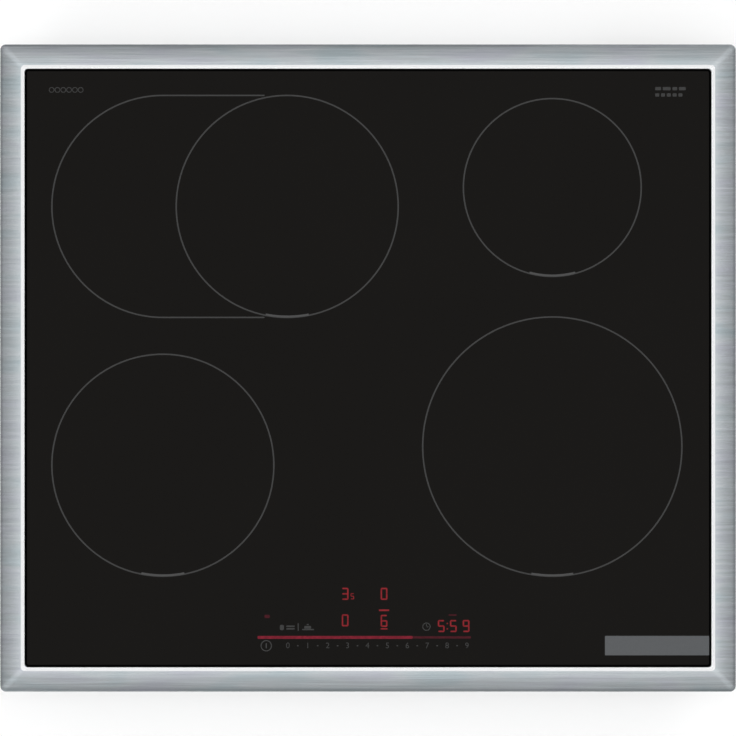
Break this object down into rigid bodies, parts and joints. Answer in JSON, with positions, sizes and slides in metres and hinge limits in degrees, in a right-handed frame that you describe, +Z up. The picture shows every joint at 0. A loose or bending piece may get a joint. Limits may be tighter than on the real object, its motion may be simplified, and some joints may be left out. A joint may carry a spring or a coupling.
{
  "type": "electric induction cooktop",
  "caption": "Built-in induction cooktop: dark ceramic glass with printed cooking rings in a brushed steel frame, over a shallow vented tray with coils, boards and blowers.",
  "frame": {"origin": "middle of the hob in plan, at the height of the tray's lowest face, which the hob rests on when it stands on a bench", "axes": "+X to the user's right, +Y to the rear, +Z up"},
  "size_m": [0.583, 0.513, 0.0564],
  "materials": {
    "ceramic_glass": "polished black glass ceramic",
    "trim_steel": "brushed along the width",
    "black_sealant": "matt",
    "zinc_sheet": "zinc-coated, satin",
    "deck_aluminium": "mill finish",
    "copper_litz": "enamelled wire",
    "black_plastic": "moulded, fine grain",
    "mica": "pressed mica sheet",
    "silicone": "matt",
    "circuit_board": "green solder mask",
    "white_plastic": "moulded",
    "capacitor_grey": "cast resin box",
    "ferrite": "sintered, wound",
    "zinc_parts": "zinc-plated"
  },
  "bodies": {
    "hob": {"glass_panel": "ceramic_glass", "trim_frame": "trim_steel", "glass_bead": "black_sealant", "worktop_seal": "black_sealant", "bottom_tray": "zinc_sheet", "coil_deck": "deck_aluminium", "coil_rear_left": "copper_litz", "coil_carrier_rear_left": "black_plastic", "mica_disc_rear_left": "mica", "sensor_rear_left": "silicone", "coil_rear_right": "copper_litz", "coil_carrier_rear_right": "black_plastic", "mica_disc_rear_right": "mica", "sensor_rear_right": "silicone", "coil_front_left": "copper_litz", "coil_carrier_front_left": "black_plastic", "mica_disc_front_left": "mica", "sensor_front_left": "silicone", "coil_front_right": "copper_litz", "coil_carrier_front_right": "black_plastic", "mica_disc_front_right": "mica", "sensor_front_right": "silicone", "coil_roaster": "copper_litz", "coil_carrier_roaster": "black_plastic", "mica_sheet_roaster": "mica", "sensor_roaster": "silicone", "electronics_cradle": "black_plastic", "filter_board": "circuit_board", "mains_choke": "ferrite", "power_board_left": "circuit_board", "heat_sink_left": "deck_aluminium", "capacitor_left_front": "capacitor_grey", "capacitor_left_rear": "capacitor_grey", "choke_left": "ferrite", "blower_housing_left": "black_plastic", "blower_motor_left": "zinc_parts", "power_board_right": "circuit_board", "heat_sink_right": "deck_aluminium", "capacitor_right_front": "capacitor_grey", "capacitor_right_rear": "capacitor_grey", "choke_right": "ferrite", "blower_housing_right": "black_plastic", "blower_motor_right": "zinc_parts", "touch_board": "circuit_board", "display_light_guide": "white_plastic", "touch_board_bracket": "black_plastic", "terminal_box": "black_plastic", "terminal_block": "white_plastic", "terminal_hinge_pin": "zinc_parts", "deck_screw_left_front": "zinc_parts", "deck_screw_left_rear": "zinc_parts", "deck_screw_right_front": "zinc_parts", "deck_screw_right_rear": "zinc_parts"},
    "impeller_left": {"impeller_left": "black_plastic"},
    "impeller_right": {"impeller_right": "black_plastic"},
    "terminal_flap": {"terminal_cover": "black_plastic"},
    "clip_left_front": {"fixing_clip_left_front": "zinc_parts"},
    "clip_left_rear": {"fixing_clip_left_rear": "zinc_parts"},
    "clip_right_front": {"fixing_clip_right_front": "zinc_parts"},
    "clip_right_rear": {"fixing_clip_right_rear": "zinc_parts"}
  },
  "joints": [
    {"name": "impeller_left_spin", "type": "hinge", "parent": "hob", "child": "impeller_left", "pos_m": [-0.115, 0.169, 0.018], "axis": [0, 0, 1], "continuous": true},
    {"name": "impeller_right_spin", "type": "hinge", "parent": "hob", "child": "impeller_right", "pos_m": [0.115, 0.169, 0.018], "axis": [0, 0, 1], "continuous": true},
    {"name": "terminal_flap_hinge", "type": "hinge", "parent": "hob", "child": "terminal_flap", "pos_m": [0.222, 0.2432, 0.0397], "axis": [1, 0, 0], "range_deg": [0, 90]},
    {"name": "clip_left_front_flex", "type": "hinge", "parent": "hob", "child": "clip_left_front", "pos_m": [-0.275, -0.13, 0.008], "axis": [0, 1, 0], "range_deg": [0, 7], "stiffness_Nm_per_rad": 4.3},
    {"name": "clip_left_rear_flex", "type": "hinge", "parent": "hob", "child": "clip_left_rear", "pos_m": [-0.275, 0.13, 0.008], "axis": [0, 1, 0], "range_deg": [0, 7], "stiffness_Nm_per_rad": 4.3},
    {"name": "clip_right_front_flex", "type": "hinge", "parent": "hob", "child": "clip_right_front", "pos_m": [0.275, -0.13, 0.008], "axis": [0, -1, 0], "range_deg": [0, 7], "stiffness_Nm_per_rad": 4.3},
    {"name": "clip_right_rear_flex", "type": "hinge", "parent": "hob", "child": "clip_right_rear", "pos_m": [0.275, 0.13, 0.008], "axis": [0, -1, 0], "range_deg": [0, 7], "stiffness_Nm_per_rad": 4.3}
  ]
}
